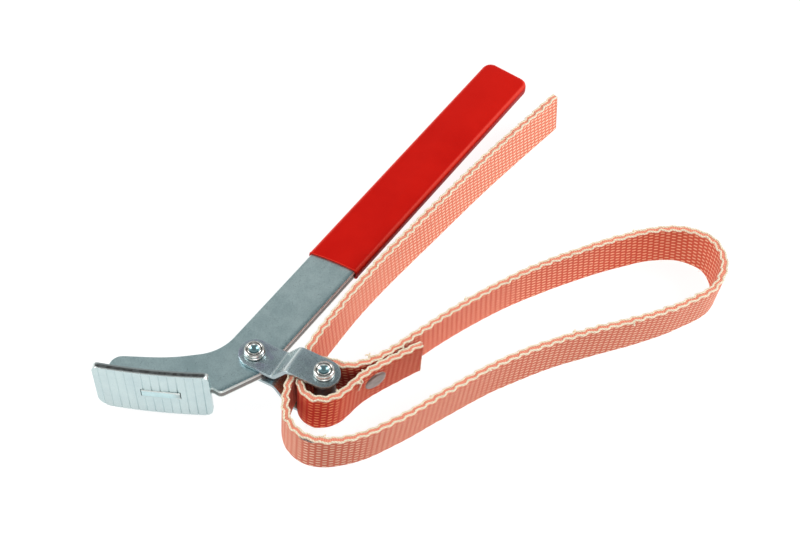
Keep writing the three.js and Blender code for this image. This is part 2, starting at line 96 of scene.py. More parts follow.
# ---- webbing: dimensions ----
STRAP_ROUTE = [
    # riveted short end
    (46.4, -62.7), (39.1, -59.7), (32.0, -56.9), (25.4, -54.4), (19.2, -52.3), (12.9, -50.8),
    # eye round the strap pin
    (6.2, -50.0), (0.1, -48.6), (-5.0, -44.9), (-7.6, -39.1), (-6.0, -32.6), (-1.6, -29.0), (4.0, -28.2),
    (10.4, -30.6), (13.6, -35.4), (15.0, -40.4),
    # back run
    (17.6, -44.4), (21.4, -47.5), (26.2, -50.3), (32.4, -52.8), (40.4, -55.1), (54.1, -58.6), (82.5, -66.9),
    (110.7, -77.8), (135.2, -90.4), (154.2, -101.8),
    # far turn
    (170.8, -114.4), (180.3, -127.3), (182.2, -140.8), (174.1, -152.2), (160.0, -155.9),
    # front run
    (141.3, -148.9), (122.7, -137.5), (102.4, -122.9), (84.7, -110.9), (59.2, -97.4), (33.0, -87.5),
    (7.7, -78.5),
    # near turn
    (-9.2, -70.2), (-18.9, -62.0), (-24.2, -53.2), (-25.2, -46.0), (-23.0, -38.8), (-18.6, -33.4),
    (-12.4, -28.8),
    # throat between the links
    (-4.4, -25.4), (4.0, -23.5), (10.4, -22.5), (15.9, -21.7),
    # tail
    (25.0, -20.5), (52.4, -18.5), (83.3, -18.4), (120.3, -19.6), (168.8, -22.1), (216, -27.1),
]
STRAP_WIDTH = 25
STRAP_SAG = 5.9
SAG_START = 20
SAG_END = 170
# How far the webbing leans over, as the sideways offset of its lower edge, at distances along it.
LEAN_STOPS = (
    (0, -2.4), (38, -2.0), (52, -1.4), (70, 1.0), (100, 1.2), (150, 2.4), (190, 1.9), (204, 1.4), (252, 0.6),
    (285, 0), (300, -1.2), (318, -2.8), (352, -3.3), (376, -2.6), (436, -1.8), (508, -2.65), (533, -2.2),
    (547, -0.6), (566, 1.7), (605, 0), (660, 0), (700, -0.7), (802, -1.2),
)

HALF_T = 1.55  # half of the woven body's thickness
HALF_H = 12.3  # half of the woven body's width, inside the edge yarns
CORNER_R = 0.9
FACE_POINTS = 33  # points across each face of the cross-section
COLUMN = 2.92  # weave column pitch along the strap
ROW = 2.4  # weave row pitch across it
RING_STEP = COLUMN / 4
RELIEF = 0.03  # how far the floats stand up and the gaps lie back


def centripetal(points, per_span=60):
    """A centripetal Catmull-Rom curve through the points, finely sampled."""
    p = np.asarray(points, float)
    p = np.vstack([2 * p[0] - p[1], p, 2 * p[-1] - p[-2]])
    out = []
    for k in range(1, len(p) - 2):
        a, b, c, d = p[k - 1:k + 3]
        ta = 0.0
        tb = ta + math.sqrt(np.linalg.norm(b - a))
        tc = tb + math.sqrt(np.linalg.norm(c - b))
        td = tc + math.sqrt(np.linalg.norm(d - c))
        t = np.linspace(tb, tc, per_span, endpoint=False)[:, None]
        ab = (tb - t) / (tb - ta) * a + (t - ta) / (tb - ta) * b
        bc = (tc - t) / (tc - tb) * b + (t - tb) / (tc - tb) * c
        cd = (td - t) / (td - tc) * c + (t - tc) / (td - tc) * d
        abc = (tc - t) / (tc - ta) * ab + (t - ta) / (tc - ta) * bc
        bcd = (td - t) / (td - tb) * bc + (t - tb) / (td - tb) * cd
        out.append((tc - t) / (tc - tb) * abc + (t - tb) / (tc - tb) * bcd)
    return np.vstack(out + [p[-2:-1]])


def by_stops(x, stops):
    """Straight-line reading of (position, value) stops."""
    return np.interp(x, [a for a, _ in stops], [b for _, b in stops])


route = centripetal(STRAP_ROUTE)
route_s = np.r_[0, np.cumsum(np.linalg.norm(np.diff(route, axis=0), axis=1))]
STRAP_LENGTH = route_s[-1]
ROUTE_STEP = 0.25
LEAN_BLUR = 61  # route steps over which the lean's corners are rounded off
even_s = np.arange(0, STRAP_LENGTH + ROUTE_STEP, ROUTE_STEP)
even = np.stack([np.interp(even_s, route_s, route[:, k]) for k in (0, 1)], -1)
heading = np.unwrap(np.arctan2(*np.gradient(even, axis=0).T[::-1]))
lean_fine = by_stops(even_s, LEAN_STOPS)
kernel = np.hanning(LEAN_BLUR) / np.hanning(LEAN_BLUR).sum()
lean_fine = np.convolve(np.pad(lean_fine, LEAN_BLUR // 2, mode="edge"), kernel, mode="valid")


def along_strap(s):
    """Plan point, side normal (left of travel), height of the middle line and lean, at distances s."""
    s = np.asarray(s, float)
    point = np.stack([np.interp(s, even_s, even[:, k]) for k in (0, 1)], -1)
    angle = np.interp(s, even_s, heading)
    normal = np.stack([-np.sin(angle), np.cos(angle)], -1)
    away = np.linalg.norm(point - STRAP_PIN, axis=-1)
    height = -STRAP_SAG * np.clip((away - SAG_START) / (SAG_END - SAG_START), 0, 1)
    return point, normal, height, np.interp(s, even_s, lean_fine)


def strap_point(s, y, z):
    """Design point at distance s, y out of the middle layer to the left, z above the middle line."""
    point, normal, height, lean = along_strap(s)
    y = np.asarray(y, float)
    z = np.asarray(z, float)
    out = y + lean * (0.5 - z / STRAP_WIDTH)
    plan = point + normal * out[..., None]
    return np.concatenate([plan, (height + z)[..., None]], -1)


def strap_s(x, y, start=0.0):
    """Distance along the strap of the place nearest to a plan point."""
    far = np.linalg.norm(even - (x, y), axis=1)
    far[even_s < start] = 1e9
    return float(even_s[far.argmin()])


S_RIVET = strap_s(22.2, -53.3)
S_EYE_END = strap_s(15.8, -42.1, 60)
S_LOOP_END = strap_s(-22.6, -38.2, 500)
S_THROAT_END = strap_s(10.4, -22.5, S_LOOP_END)


def weave(s, z):
    """Brick pattern of the raised yarn floats, from -1 to 1."""
    return np.cos(np.pi * s / COLUMN) * np.cos(TAU * z / ROW)


def make_object(name, verts, faces):
    mesh = bpy.data.meshes.new(name)
    mesh.from_pydata([tuple(v) for v in verts], [], [tuple(int(i) for i in f) for f in faces])
    mesh.update()
    mesh.polygons.foreach_set("use_smooth", [True] * len(mesh.polygons))
    obj = bpy.data.objects.new(name, mesh)
    collection.objects.link(obj)
    return obj


def add_uv(obj, name, values):
    """One UV pair for every vertex, copied to the face corners."""
    layer = obj.data.uv_layers.new(name=name)
    loops = np.zeros(len(obj.data.loops), np.int32)
    obj.data.loops.foreach_get("vertex_index", loops)
    layer.data.foreach_set("uv", np.asarray(values, np.float32)[loops].ravel())


def add_float(obj, name, values):
    layer = obj.data.attributes.new(name, "FLOAT", "POINT")
    layer.data.foreach_set("value", np.asarray(values, np.float32))


def bridge(rings, size):
    """Quads between successive closed rings of `size` points."""
    faces = []
    for i in range(rings - 1):
        for k in range(size):
            a = i * size + k
            b = i * size + (k + 1) % size
            faces.append((a, b, b + size, a + size))
    return faces


# ---- webbing: meshes ----
def section():
    """The webbing's cross-section: y, z, outward normal and the pattern height v, walked once round."""
    flat = np.linspace(-1, 1, FACE_POINTS)[1:-1] * (HALF_H - CORNER_R)
    turn = np.linspace(0, np.pi / 2, 5)
    rows = []
    corner_y = HALF_T - CORNER_R
    corner_z = HALF_H - CORNER_R
    for quarter, (sy, sz) in enumerate(((1, 1), (1, -1), (-1, -1), (-1, 1))):
        angles = turn if sy * sz > 0 else turn[::-1]
        for a in angles:
            ny, nz = sy * np.sin(a), sz * np.cos(a)
            rows.append((sy * corner_y + CORNER_R * ny, sz * corner_z + CORNER_R * nz, ny, nz))
        if quarter == 0:
            rows.extend((HALF_T, z, 1, 0) for z in flat[::-1])
        if quarter == 1:
            rows.append((0, -HALF_H, 0, -1))
        if quarter == 2:
            rows.extend((-HALF_T, z, -1, 0) for z in flat)
        if quarter == 3:
            rows.append((0, HALF_H, 0, 1))
    return np.array(rows)


SECTION = section()


# Deep-red share (0 salmon, 1 deep red), partly the dye and partly painted shade and red light reflected
# inside the loop and under the links, and painted light and shade as brightness, by distance, for the face on
# the right of travel, which looks into the loop, and for the face on the left.
DYE_AND_SHADE_RIGHT = (
    (0, 1.0), (90, 0.85), (130, 0.5), (200, 0.38), (238, 0.52), (265, 0.66), (285, 0.52), (310, 0.4),
    (330, 0.5), (520, 0.75), (600, 0.5), (640, 0),
)
DYE_AND_SHADE_LEFT = (
    (0, 0.85), (37, 0.88), (50, 0.97), (88, 0.97), (100, 0.6), (130, 0.2), (240, 0.1), (376, 0.18),
    (450, 0.27), (508, 0.27), (542, 0.22), (560, 0), (567, 0.2), (576, 0.85), (600, 0.9),
)
# Painted light and shade as a brightness multiplier: under 1 is painted shade, as on the front run and under
# the links, over 1 is painted light.
LIGHT_AND_SHADE_RIGHT = (
    (0, 0.9), (120, 1.0), (200, 1.06), (300, 1.04), (520, 0.9), (605, 0.97), (700, 1.02), (802, 1.08),
)
LIGHT_AND_SHADE_LEFT = (
    (0, 0.78), (37, 0.86), (50, 1.04), (100, 1.04), (330, 0.97), (400, 0.88), (505, 0.86), (525, 0.80),
    (542, 0.76), (556, 0.9), (566, 0.98), (575, 0.6), (592, 0.45),
)


def side_tone(s, side, right, left):
    """The right or left face's reading at distances s; side is the outward normal's sideways part."""
    return np.where(side < 0, by_stops(s, right), by_stops(s, left))


def webbing(name, s0, s1):
    """The woven body from distance s0 to s1, a closed solid with the weave pressed into its faces."""
    count = int(round((s1 - s0) / RING_STEP))
    s = np.linspace(s0, s1, count + 1)[:, None]
    y, z, ny, nz = SECTION.T
    face = np.abs(ny) ** 4
    lift = RELIEF * weave(s, z[None]) * face[None]
    yy = y[None] + ny[None] * lift
    zz = z[None] + nz[None] * lift
    ss = np.broadcast_to(s, yy.shape)
    verts = at(strap_point(ss.ravel(), yy.ravel(), zz.ravel()))
    size = len(SECTION)
    faces = bridge(count + 1, size)
    faces.append(tuple(range(size)))
    faces.append(tuple(reversed(range(count * size, (count + 1) * size))))
    obj = make_object(name, verts, faces)
    edge = np.maximum(0, 1 - np.abs(y) / HALF_T) * HALF_T
    v = np.where(np.abs(z) > HALF_H - CORNER_R, np.sign(z) * (HALF_H + edge), z)
    add_uv(obj, "weave", np.stack([ss.ravel(), np.broadcast_to(v[None], ss.shape).ravel()], -1))
    side = np.broadcast_to(ny[None], ss.shape).ravel()
    # Painted shade: this deep-red share mixes the dye with painted shade and red light reflected inside the
    # loop.
    add_float(obj, "dye_and_shade", side_tone(ss.ravel(), side, DYE_AND_SHADE_RIGHT, DYE_AND_SHADE_LEFT))
    # Painted light and shade, multiplied into the colour.
    add_float(obj, "light_and_shade", side_tone(ss.ravel(), side, LIGHT_AND_SHADE_RIGHT, LIGHT_AND_SHADE_LEFT))
    return obj


def tube(paths, radius, sides, name):
    """Round threads along polylines; radius is a number or an array for each path, with a twisted ply."""
    verts = []
    faces = []
    uvs = []
    base = 0
    for path, r in zip(paths, radius):
        path = np.asarray(path, float)
        n = len(path)
        r = np.broadcast_to(r, (n,))
        t = np.gradient(path, axis=0)
        t /= np.linalg.norm(t, axis=1)[:, None] + 1e-12
        up = np.where(np.abs(t[:, 2:3]) > 0.9, (1.0, 0, 0), (0, 0, 1.0))
        a = np.cross(up, t)
        a /= np.linalg.norm(a, axis=1)[:, None]
        b = np.cross(t, a)
        length = np.r_[0, np.cumsum(np.linalg.norm(np.diff(path, axis=0), axis=1))]
        for i in range(n):
            for k in range(sides):
                phi = TAU * k / sides
                ply = 1 + PLY_RELIEF * math.cos(2 * (phi - length[i] * PLY_TWIST))
                verts.append(path[i] + r[i] * ply * (math.cos(phi) * a[i] + math.sin(phi) * b[i]))
                uvs.append((length[i], k))
        faces.extend(tuple(base + j for j in f) for f in bridge(n, sides))
        faces.append(tuple(base + k for k in reversed(range(sides))))
        faces.append(tuple(base + (n - 1) * sides + k for k in range(sides)))
        base += n * sides
    obj = make_object(name, at(verts), faces)
    add_uv(obj, "thread", uvs)
    return obj


PLY_RELIEF = 0.13  # share of a thread's radius that its two plies stand out
PLY_TWIST = 2.1  # radians of twist per millimetre
YARN_R = 0.5
YARN_STEP = 0.6
UPPER_YARN = (0.38, 1.16, 12.25)  # width of the meander, offset from the middle layer, height
LOWER_YARN = (0.16, 0.72, 12.05)
DRIFT_STEP = 6.0


def saw(t):
    """The meander of an edge yarn: slow one way, quick the other."""
    return (np.sin(TAU * t) + 0.3 * np.sin(2 * TAU * t) + 0.1 * np.sin(3 * TAU * t)) / 1.1


# slow seeded drift of each edge yarn, shared by all pieces of the strap
drift_s = np.arange(0, STRAP_LENGTH + 2 * DRIFT_STEP, DRIFT_STEP)
YARN_KEYS = ("left_up", "right_up", "left_low", "right_low")
DRIFT = {key: rng.normal(0, 1, (3, len(drift_s))) for key in YARN_KEYS}


def edge_yarn(key, s):
    """Points of one edge yarn at distances s."""
    side = 1 if key.startswith("left") else -1
    up = 1 if key.endswith("up") else -1
    wander, swell, slip = (np.interp(s, drift_s, row) for row in DRIFT[key])
    wave = saw(s / (2 * COLUMN) + 0.045 * slip)
    reach, out, height = UPPER_YARN if up > 0 else LOWER_YARN
    y = side * out + (reach + 0.1 * swell) * wave + 0.1 * wander
    z = up * (height - 0.2 * side * wave) + 0.07 * up * swell
    return strap_point(s, y, z)


def edge_yarns(name, s0, s1):
    count = int(round((s1 - s0) / YARN_STEP))
    s = np.linspace(s0, s1, count + 1)
    return tube([edge_yarn(key, s) for key in DRIFT], [YARN_R] * len(DRIFT), 8, name)


FUZZ_PER_MM = 0.8
EDGE_SHARE = 0.75  # share of the stray fibres that stand on the webbing's edges
FRAY_TUFTS = 110
FIBRE_R = 0.06
TABLE_Z = -float(ORIGIN[2]) / MM  # the surface that the wrench lies on


def fuzz(name, s0, s1):
    """Short stray fibres standing off the edges and faces."""
    paths = []
    radii = []
    for _ in range(int((s1 - s0) * FUZZ_PER_MM)):
        s = rng.uniform(s0 + 1, s1 - 1)
        side = rng.choice((-1, 1))
        on_edge = rng.random() < EDGE_SHARE
        z = rng.choice((-1, 1)) * rng.uniform(11.8, 12.6) if on_edge else rng.uniform(-11, 11)
        y = side * rng.uniform(0.8, 1.7) if on_edge else side * HALF_T
        root = strap_point(np.array([s]), np.array([y]), np.array([z]))[0]
        _, normal, _, _ = along_strap(s)
        out = np.array([normal[0] * side, normal[1] * side, np.sign(z) * (0.9 if on_edge else 0.1)])
        out += rng.normal(0, 0.45, 3)
        out /= np.linalg.norm(out)
        curl = rng.normal(0, 0.5, 3)
        length = rng.uniform(0.5, 1.5)
        t = np.linspace(0, 1, 5)[:, None]
        path = root + out * length * t + curl * length * t ** 2 * 0.6
        path[:, 2] = np.maximum(path[:, 2], TABLE_Z + FIBRE_R)
        paths.append(path)
        radii.append(np.linspace(FIBRE_R, FIBRE_R / 2, 5))
    return tube(paths, radii, 3, name)


def frayed_end(name, s, direction):
    """Cut yarn ends: a row of short loose tufts across the webbing's tip."""
    paths = []
    radii = []
    _, normal, _, _ = along_strap(s)
    forward = np.array([normal[1], -normal[0], 0]) * direction
    for _ in range(FRAY_TUFTS):
        z = rng.uniform(-12.2, 12.2)
        y = rng.uniform(-1.5, 1.5)
        root = strap_point(np.array([s]), np.array([y]), np.array([z]))[0] - forward * 0.5
        length = rng.uniform(0.5, 1.3) * (1.3 if abs(z) > 11 else 1)
        bend = rng.normal(0, 0.22, 3)
        t = np.linspace(0, 1, 4)[:, None]
        paths.append(root + forward * length * t + bend * t ** 2)
        radii.append(np.linspace(0.17, 0.08, 4))
    return tube(paths, radii, 4, name)


def smooth_path(stops, count=24):
    """A soft curve through (s, y, z) stops laid on the strap, as design points."""
    stops = np.array(stops, float)
    t = np.linspace(0, len(stops) - 1, count)
    base = np.arange(len(stops))
    rows = [np.interp(t, base, stops[:, k]) for k in range(3)]
    soft = np.hanning(7) / np.hanning(7).sum()
    rows = [np.convolve(np.pad(row, 3, mode="edge"), soft, mode="valid") for row in rows]
    return strap_point(*rows)


LOOSE_AT = (9, 31, 47, 55, 84, 131, 168, 262, 409, 455, 486, 541)  # distances of the small pulled ends


def loose_threads(name):
    """Pulled yarn ends: a curl beside the rivet, a tuft over the back run and a few on the edges."""
    curl = S_RIVET + 10.6
    tuft = strap_s(24.0, -49.3, 90)
    far_snag = strap_s(118, -134.4, 330)
    # each thread: where it starts along the strap, then stops of (further along, sideways, height)
    threads = (
        (curl, ((1.6, 1.4, 12.5), (0, 2.3, 12.0), (-1.0, 2.5, 10.4), (-0.4, 2.3, 7.6), (0.5, 2.1, 5.2))),
        (curl, ((-1.4, 1.4, 12.6), (-2.0, 2.5, 11.2), (-1.2, 2.3, 9.6), (-0.6, 2.0, 9.0))),
        (tuft, ((0, 1.0, 12.6), (0.5, 1.6, 14.2), (-0.7, 1.9, 15.3), (-1.7, 1.5, 14.9))),
        (tuft, ((1.4, 1.2, 12.6), (0.6, 2.0, 14.0), (1.6, 2.4, 14.8))),
        (far_snag, ((0, 1.3, 12.4), (0.2, 2.1, 11.6), (-0.3, 2.2, 9.9))),
    )
    paths = [smooth_path([(start + ds, y, z) for ds, y, z in stops]) for start, stops in threads]
    for s in LOOSE_AT:
        side = rng.choice((-1, 1))
        lean, rise = rng.uniform(-1.2, 1.2), rng.uniform(0.5, 1.2)
        paths.append(smooth_path([(s, side * 1.3, 12.3), (s + lean * 0.6, side * 1.9, 12.3 + rise),
                                  (s + lean * 1.6, side * 2.2, 12.2 + rise * 0.6)], 9))
    return tube(paths, [np.linspace(0.5, 0.34, len(path)) for path in paths], 6, name)


def snag(name):
    """A dirty snagged length of yarn lying on the outer edge of the near turn."""
    s = strap_s(-12.5, -67.6, 480) + 21
    path = smooth_path([(s - 3.4, 1.6, 11.9), (s - 1.8, 1.9, 11.6), (s, 1.7, 12.1), (s + 1.8, 2.0, 11.8),
                        (s + 3.4, 1.8, 12.3)])
    return tube([path], [np.r_[np.linspace(0.15, 0.38, 12), np.linspace(0.38, 0.2, 12)]], 7, name)


strap_loop = webbing("webbing_loop", 0, S_LOOP_END)
strap_throat = webbing("webbing_throat", S_LOOP_END, S_THROAT_END)
strap_tail = webbing("webbing_tail", S_THROAT_END, STRAP_LENGTH)
yarns_loop = edge_yarns("edge_yarns_loop", 0, S_LOOP_END)
yarns_throat = edge_yarns("edge_yarns_throat", S_LOOP_END, S_THROAT_END)
yarns_tail = edge_yarns("edge_yarns_tail", S_THROAT_END, STRAP_LENGTH)
fuzz_loop = fuzz("fuzz_loop", 0, S_LOOP_END)
fuzz_tail = fuzz("fuzz_tail", S_THROAT_END + 20, STRAP_LENGTH)
fray_short = frayed_end("frayed_short_end", 0.0, -1)
fray_tail = frayed_end("frayed_tail_end", STRAP_LENGTH, 1)
loose_loop = loose_threads("loose_threads")
dirty_snag = snag("dirty_snag")


# ---- lathed metal pieces ----
def lathe(name, profile, origin, axis, segments=64):
    """Turn (radius, height) pairs in mm round an axis through a design point. The profile starts and ends
    on the axis, or is a closed loop when its ends meet."""
    axis = Vector(axis).normalized()
    side = axis.orthogonal().normalized()
    across = axis.cross(side)
    verts = []
    for r, h in profile:
        for k in range(segments):
            a = TAU * k / segments
            verts.append(np.array(origin) + np.array(axis) * h
                         + r * (math.cos(a) * np.array(side) + math.sin(a) * np.array(across)))
    obj = make_object(name, at(verts), bridge(len(profile), segments))
    add_float(obj, "radius", np.repeat([r for r, _ in profile], segments))
    mesh = bmesh.new()
    mesh.from_mesh(obj.data)
    bmesh.ops.remove_doubles(mesh, verts=mesh.verts, dist=1e-7)
    bmesh.ops.recalc_face_normals(mesh, faces=mesh.faces)
    mesh.to_mesh(obj.data)
    mesh.free()
    obj.data.polygons.foreach_set("use_smooth", [True] * len(obj.data.polygons))
    return obj


RIVET_RISE = 2.5  # height of the rivet above the webbing's middle line
RIVET_SHANK_R = 2.4
BACK_RUN_AWAY = 4.4  # sideways from the short end's middle layer to the back run
rivet_plan, rivet_normal, _, rivet_lean = along_strap(S_RIVET)
rivet_foot = strap_point(np.array([S_RIVET]), np.array([HALF_T]), np.array([RIVET_RISE]))[0]
rivet_axis = Vector((rivet_normal[0], rivet_normal[1], rivet_lean / STRAP_WIDTH))
rivet_head = lathe("rivet_head", [
    (0, 0.78), (1.2, 0.8), (2.6, 0.86), (3.6, 0.9), (4.5, 0.86), (5.1, 0.74), (5.5, 0.5), (5.75, 0.2),
    (5.8, 0.0), (5.6, -0.25), (RIVET_SHANK_R, -0.3), (RIVET_SHANK_R, -3.4), (0, -3.4),
], rivet_foot, rivet_axis)

WASHER_R = 4.4
back_s = strap_s(*(rivet_plan + np.array(rivet_normal) * -BACK_RUN_AWAY), S_EYE_END)
washer_foot = strap_point(np.array([back_s]), np.array([HALF_T]), np.array([RIVET_RISE]))[0]
_, washer_normal, _, washer_lean = along_strap(back_s)
washer_axis = Vector((washer_normal[0], washer_normal[1], washer_lean / STRAP_WIDTH))
clench_washer = lathe("clench_washer", [
    (0, 1.5), (1.4, 1.45), (2.0, 1.2), (2.3, 0.9), (2.7, 0.75), (3.9, 0.8), (4.25, 0.65), (WASHER_R, 0.3),
    (WASHER_R - 0.05, 0.0), (4.1, -0.2), (RIVET_SHANK_R, -0.3), (RIVET_SHANK_R, -1.2), (0, -1.2),
], washer_foot, washer_axis)

# Pin ends: a pin with a round dimple staked in each end, inside a stepped collar.
DIMPLE_R = 2.72
DIMPLE_DEPTH = 1.25
PIN_R = 3.3
PIN_SIDES = 96
COLLAR = (
    (3.55, 0), (4.85, 0), (4.95, 0.14), (4.97, 0.5), (4.9, 0.8), (4.62, 0.92), (4.55, 1.05), (4.7, 1.18),
    (4.82, 1.35), (4.84, 1.7), (4.8, 2.1), (4.68, 2.5), (4.45, 2.8), (4.15, 2.96), (3.9, 3.0), (3.72, 2.94),
    (3.6, 2.8), (3.55, 2.6), (3.55, 0),
)


def pin_profile(half):
    """The pin's profile: one end from the dimple's middle to the shank, then the same mirrored."""
    ball = (DIMPLE_R ** 2 + DIMPLE_DEPTH ** 2) / (2 * DIMPLE_DEPTH)
    span = math.asin(DIMPLE_R / ball)
    floor_level = half - DIMPLE_DEPTH
    top = [(ball * math.sin(a), floor_level + ball * (1 - math.cos(a))) for a in np.linspace(0, span, 14)]
    rim = ((2.8, 0.03), (2.92, 0.05), (3.08, 0.02), (3.22, -0.1), (PIN_R, -0.3))
    top += [(r, half + rise) for r, rise in rim]
    return top + [(r, -h) for r, h in reversed(top)]


def node_span(node):
    """A node's middle and its lowest and highest levels in design millimetres."""
    low, high = (np.array(corner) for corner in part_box(node))
    middle = ((low + high) / 2 - ORIGIN) / MM
    return middle, (low[2] - ORIGIN[2]) / MM, (high[2] - ORIGIN[2]) / MM


pin_pieces = []
for which in ("pivot", "strap"):
    middle, _, top = node_span(f"{which}_pin")
    body = lathe(f"{which}_pin_turned", pin_profile(top), (middle[0], middle[1], 0), (0, 0, 1), PIN_SIDES)
    pin_pieces.append((body, f"{which}_pin"))
    for end, up in (("upper", 1), ("lower", -1)):
        node = f"{which}_pin_collar_{end}"
        _, low, high = node_span(node)
        foot = (middle[0], middle[1], low if up > 0 else high)
        pin_pieces.append((lathe(f"{node}_turned", COLLAR, foot, (0, 0, up), PIN_SIDES), node))


# The coat's rounded lip at the grip's mouth, which closes on the plate.
PLATE_T = 4.8
PLATE_Y_LOW = -9.3
PLATE_Y_HIGH = 14.6
HANDLE_TURN = math.radians(0.24)
GRIP_START_X = 64.5
MOUTH_SLANT = 1.9
MOUTH_BOW = 1.2
COAT = 1.2
LIP_R = 0.62
LIP_CORNER_R = 1.3
LIP_INSET = 0.28  # how far the lip's middle lies inside the mouth


def mouth_x(y):
    """The slanted, bowed mouth across the handle."""
    t = np.clip((PLATE_Y_HIGH - y) / (PLATE_Y_HIGH - PLATE_Y_LOW), 0, 1)
    start, middle, end = GRIP_START_X - MOUTH_SLANT, GRIP_START_X + MOUTH_BOW, GRIP_START_X + MOUTH_SLANT
    return (1 - t) ** 2 * start + 2 * t * (1 - t) * middle + t ** 2 * end


def mouth_lip(name, sides=10):
    """A round bead along the mouth's outline."""
    low, high = PLATE_Y_LOW - COAT / 2, PLATE_Y_HIGH + COAT / 2
    top = PLATE_T / 2 + COAT / 2
    corner = LIP_CORNER_R
    loop = []
    for cy, cz, start in ((high - corner, top - corner, 0), (low + corner, top - corner, 90),
                          (low + corner, corner - top, 180), (high - corner, corner - top, 270)):
        for a in np.radians(np.linspace(start, start + 90, 7)):
            loop.append((cy + corner * math.cos(a), cz + corner * math.sin(a), math.cos(a), math.sin(a)))
    dense = []
    for here, there in zip(loop, loop[1:] + loop[:1]):
        parts = max(1, int(abs(there[0] - here[0]) / 1.0))
        for k in range(parts):
            dense.append(tuple(h + (o - h) * k / parts for h, o in zip(here, there)))
    verts = []
    for y, z, ny, nz in dense:
        x = mouth_x(y) + LIP_INSET
        for k in range(sides):
            a = TAU * k / sides
            px, out = x + LIP_R * math.cos(a), LIP_R * math.sin(a)
            vy = y + ny * out
            verts.append((px * math.cos(HANDLE_TURN) - vy * math.sin(HANDLE_TURN),
                          px * math.sin(HANDLE_TURN) + vy * math.cos(HANDLE_TURN), z + nz * out))
    faces = bridge(len(dense), sides)
    back = (len(dense) - 1) * sides
    for k in range(sides):
        n = (k + 1) % sides
        faces.append((back + k, back + n, n, k))
    return make_object(name, at(verts), faces)


grip_lip = mouth_lip("grip_mouth_lip")


# ---- node materials ----
class Value:
    """A socket that can be written into formulas."""

    def __init__(self, graph, socket):
        self.graph = graph
        self.socket = socket

    def __add__(self, other):
        return self.graph.math("ADD", self, other)

    def __sub__(self, other):
        return self.graph.math("SUBTRACT", self, other)

    def __mul__(self, other):
        return self.graph.math("MULTIPLY", self, other)

    __radd__ = __add__
    __rmul__ = __mul__

    def __rsub__(self, other):
        return self.graph.math("SUBTRACT", other, self)


class Graph:
    """A material's node tree round one Principled shader."""

    def __init__(self, name, base, roughness, metallic=0.0, **uniform):
        self.material = bpy.data.materials.new(name)
        self.material.use_nodes = True
        self.tree = self.material.node_tree
        self.shader = self.tree.nodes["Principled BSDF"]
        self.set("Base Color", (*base, 1))
        self.set("Roughness", roughness)
        self.set("Metallic", metallic)
        self.material.diffuse_color = (*base, 1)
        for key, value in uniform.items():
            self.set(key.replace("_", " "), value)

    def set(self, socket, value):
        self.feed(self.shader.inputs[socket], value)

    def feed(self, socket, value):
        if isinstance(value, Value):
            self.tree.links.new(value.socket, socket)
        else:
            socket.default_value = value

    def node(self, kind, inputs=(), output=0, **properties):
        node = self.tree.nodes.new(kind)
        for key, value in properties.items():
            setattr(node, key, value)
        for key, value in dict(inputs).items():
            self.feed(node.inputs[key], value)
        return Value(self, node.outputs[output])

    def math(self, operation, a, b=0.0):
        return self.node("ShaderNodeMath", {0: a, 1: b}, operation=operation)

    def cos(self, a):
        return self.math("COSINE", a)

    def sin(self, a):
        return self.math("SINE", a)

    def absolute(self, a):
        return self.math("ABSOLUTE", a)

    def step(self, value, low, high, out_low=0.0, out_high=1.0):
        """Smoothly from out_low to out_high as the value goes from low to high."""
        return self.node("ShaderNodeMapRange", {"Value": value, "From Min": low, "From Max": high,
                                                "To Min": out_low, "To Max": out_high},
                         interpolation_type="SMOOTHSTEP", clamp=True)

    def place(self):
        return self.node("ShaderNodeTexCoord", output="Object")

    def noise(self, size_mm, detail=2.0, roughness=0.5, stretch=(1, 1, 1), distortion=0.0):
        """Noise with features of about size_mm, from 0 to 1."""
        place = self.node("ShaderNodeMapping", {"Vector": self.place(), "Scale": stretch})
        inputs = {"Vector": place, "Scale": 1 / (size_mm * MM), "Detail": detail, "Roughness": roughness,
                  "Distortion": distortion}
        return self.node("ShaderNodeTexNoise", inputs)

    def cells(self, size_mm):
        return self.node("ShaderNodeTexVoronoi", {"Vector": self.place(), "Scale": 1 / (size_mm * MM)})

    def mix(self, factor, a, b, blend="MIX"):
        a = (*a, 1) if isinstance(a, tuple) and len(a) == 3 else a
        b = (*b, 1) if isinstance(b, tuple) and len(b) == 3 else b
        node = self.tree.nodes.new("ShaderNodeMix")
        node.data_type = "RGBA"
        node.blend_type = blend
        self.feed(node.inputs[0], factor)
        self.feed(node.inputs[6], a)
        self.feed(node.inputs[7], b)
        return Value(self, node.outputs[2])

    def bump(self, height_mm, strength=1.0):
        """Bump from a height in millimetres."""
        inputs = {"Height": height_mm * MM, "Distance": 1.0, "Strength": strength}
        self.set("Normal", self.node("ShaderNodeBump", inputs))

    def uv(self, name):
        place = self.node("ShaderNodeUVMap", uv_map=name)
        node = self.tree.nodes.new("ShaderNodeSeparateXYZ")
        self.feed(node.inputs[0], place)
        return Value(self, node.outputs[0]), Value(self, node.outputs[1])

    def grey(self, value):
        return self.node("ShaderNodeCombineXYZ", {0: value, 1: value, 2: value})

    def design_place(self):
        """Design x, y and z in millimetres."""
        node = self.tree.nodes.new("ShaderNodeSeparateXYZ")
        self.feed(node.inputs[0], self.place())
        return [(Value(self, node.outputs[k]) - float(ORIGIN[k])) * (1 / MM) for k in range(3)]

    def facing_up(self):
        """How far the surface faces up: 1 on top, 0 on the sides, -1 underneath."""
        node = self.tree.nodes.new("ShaderNodeSeparateXYZ")
        self.feed(node.inputs[0], self.node("ShaderNodeTexCoord", output="Normal"))
        return Value(self, node.outputs[2])

    def attribute(self, name):
        return self.node("ShaderNodeAttribute", output="Fac", attribute_name=name)


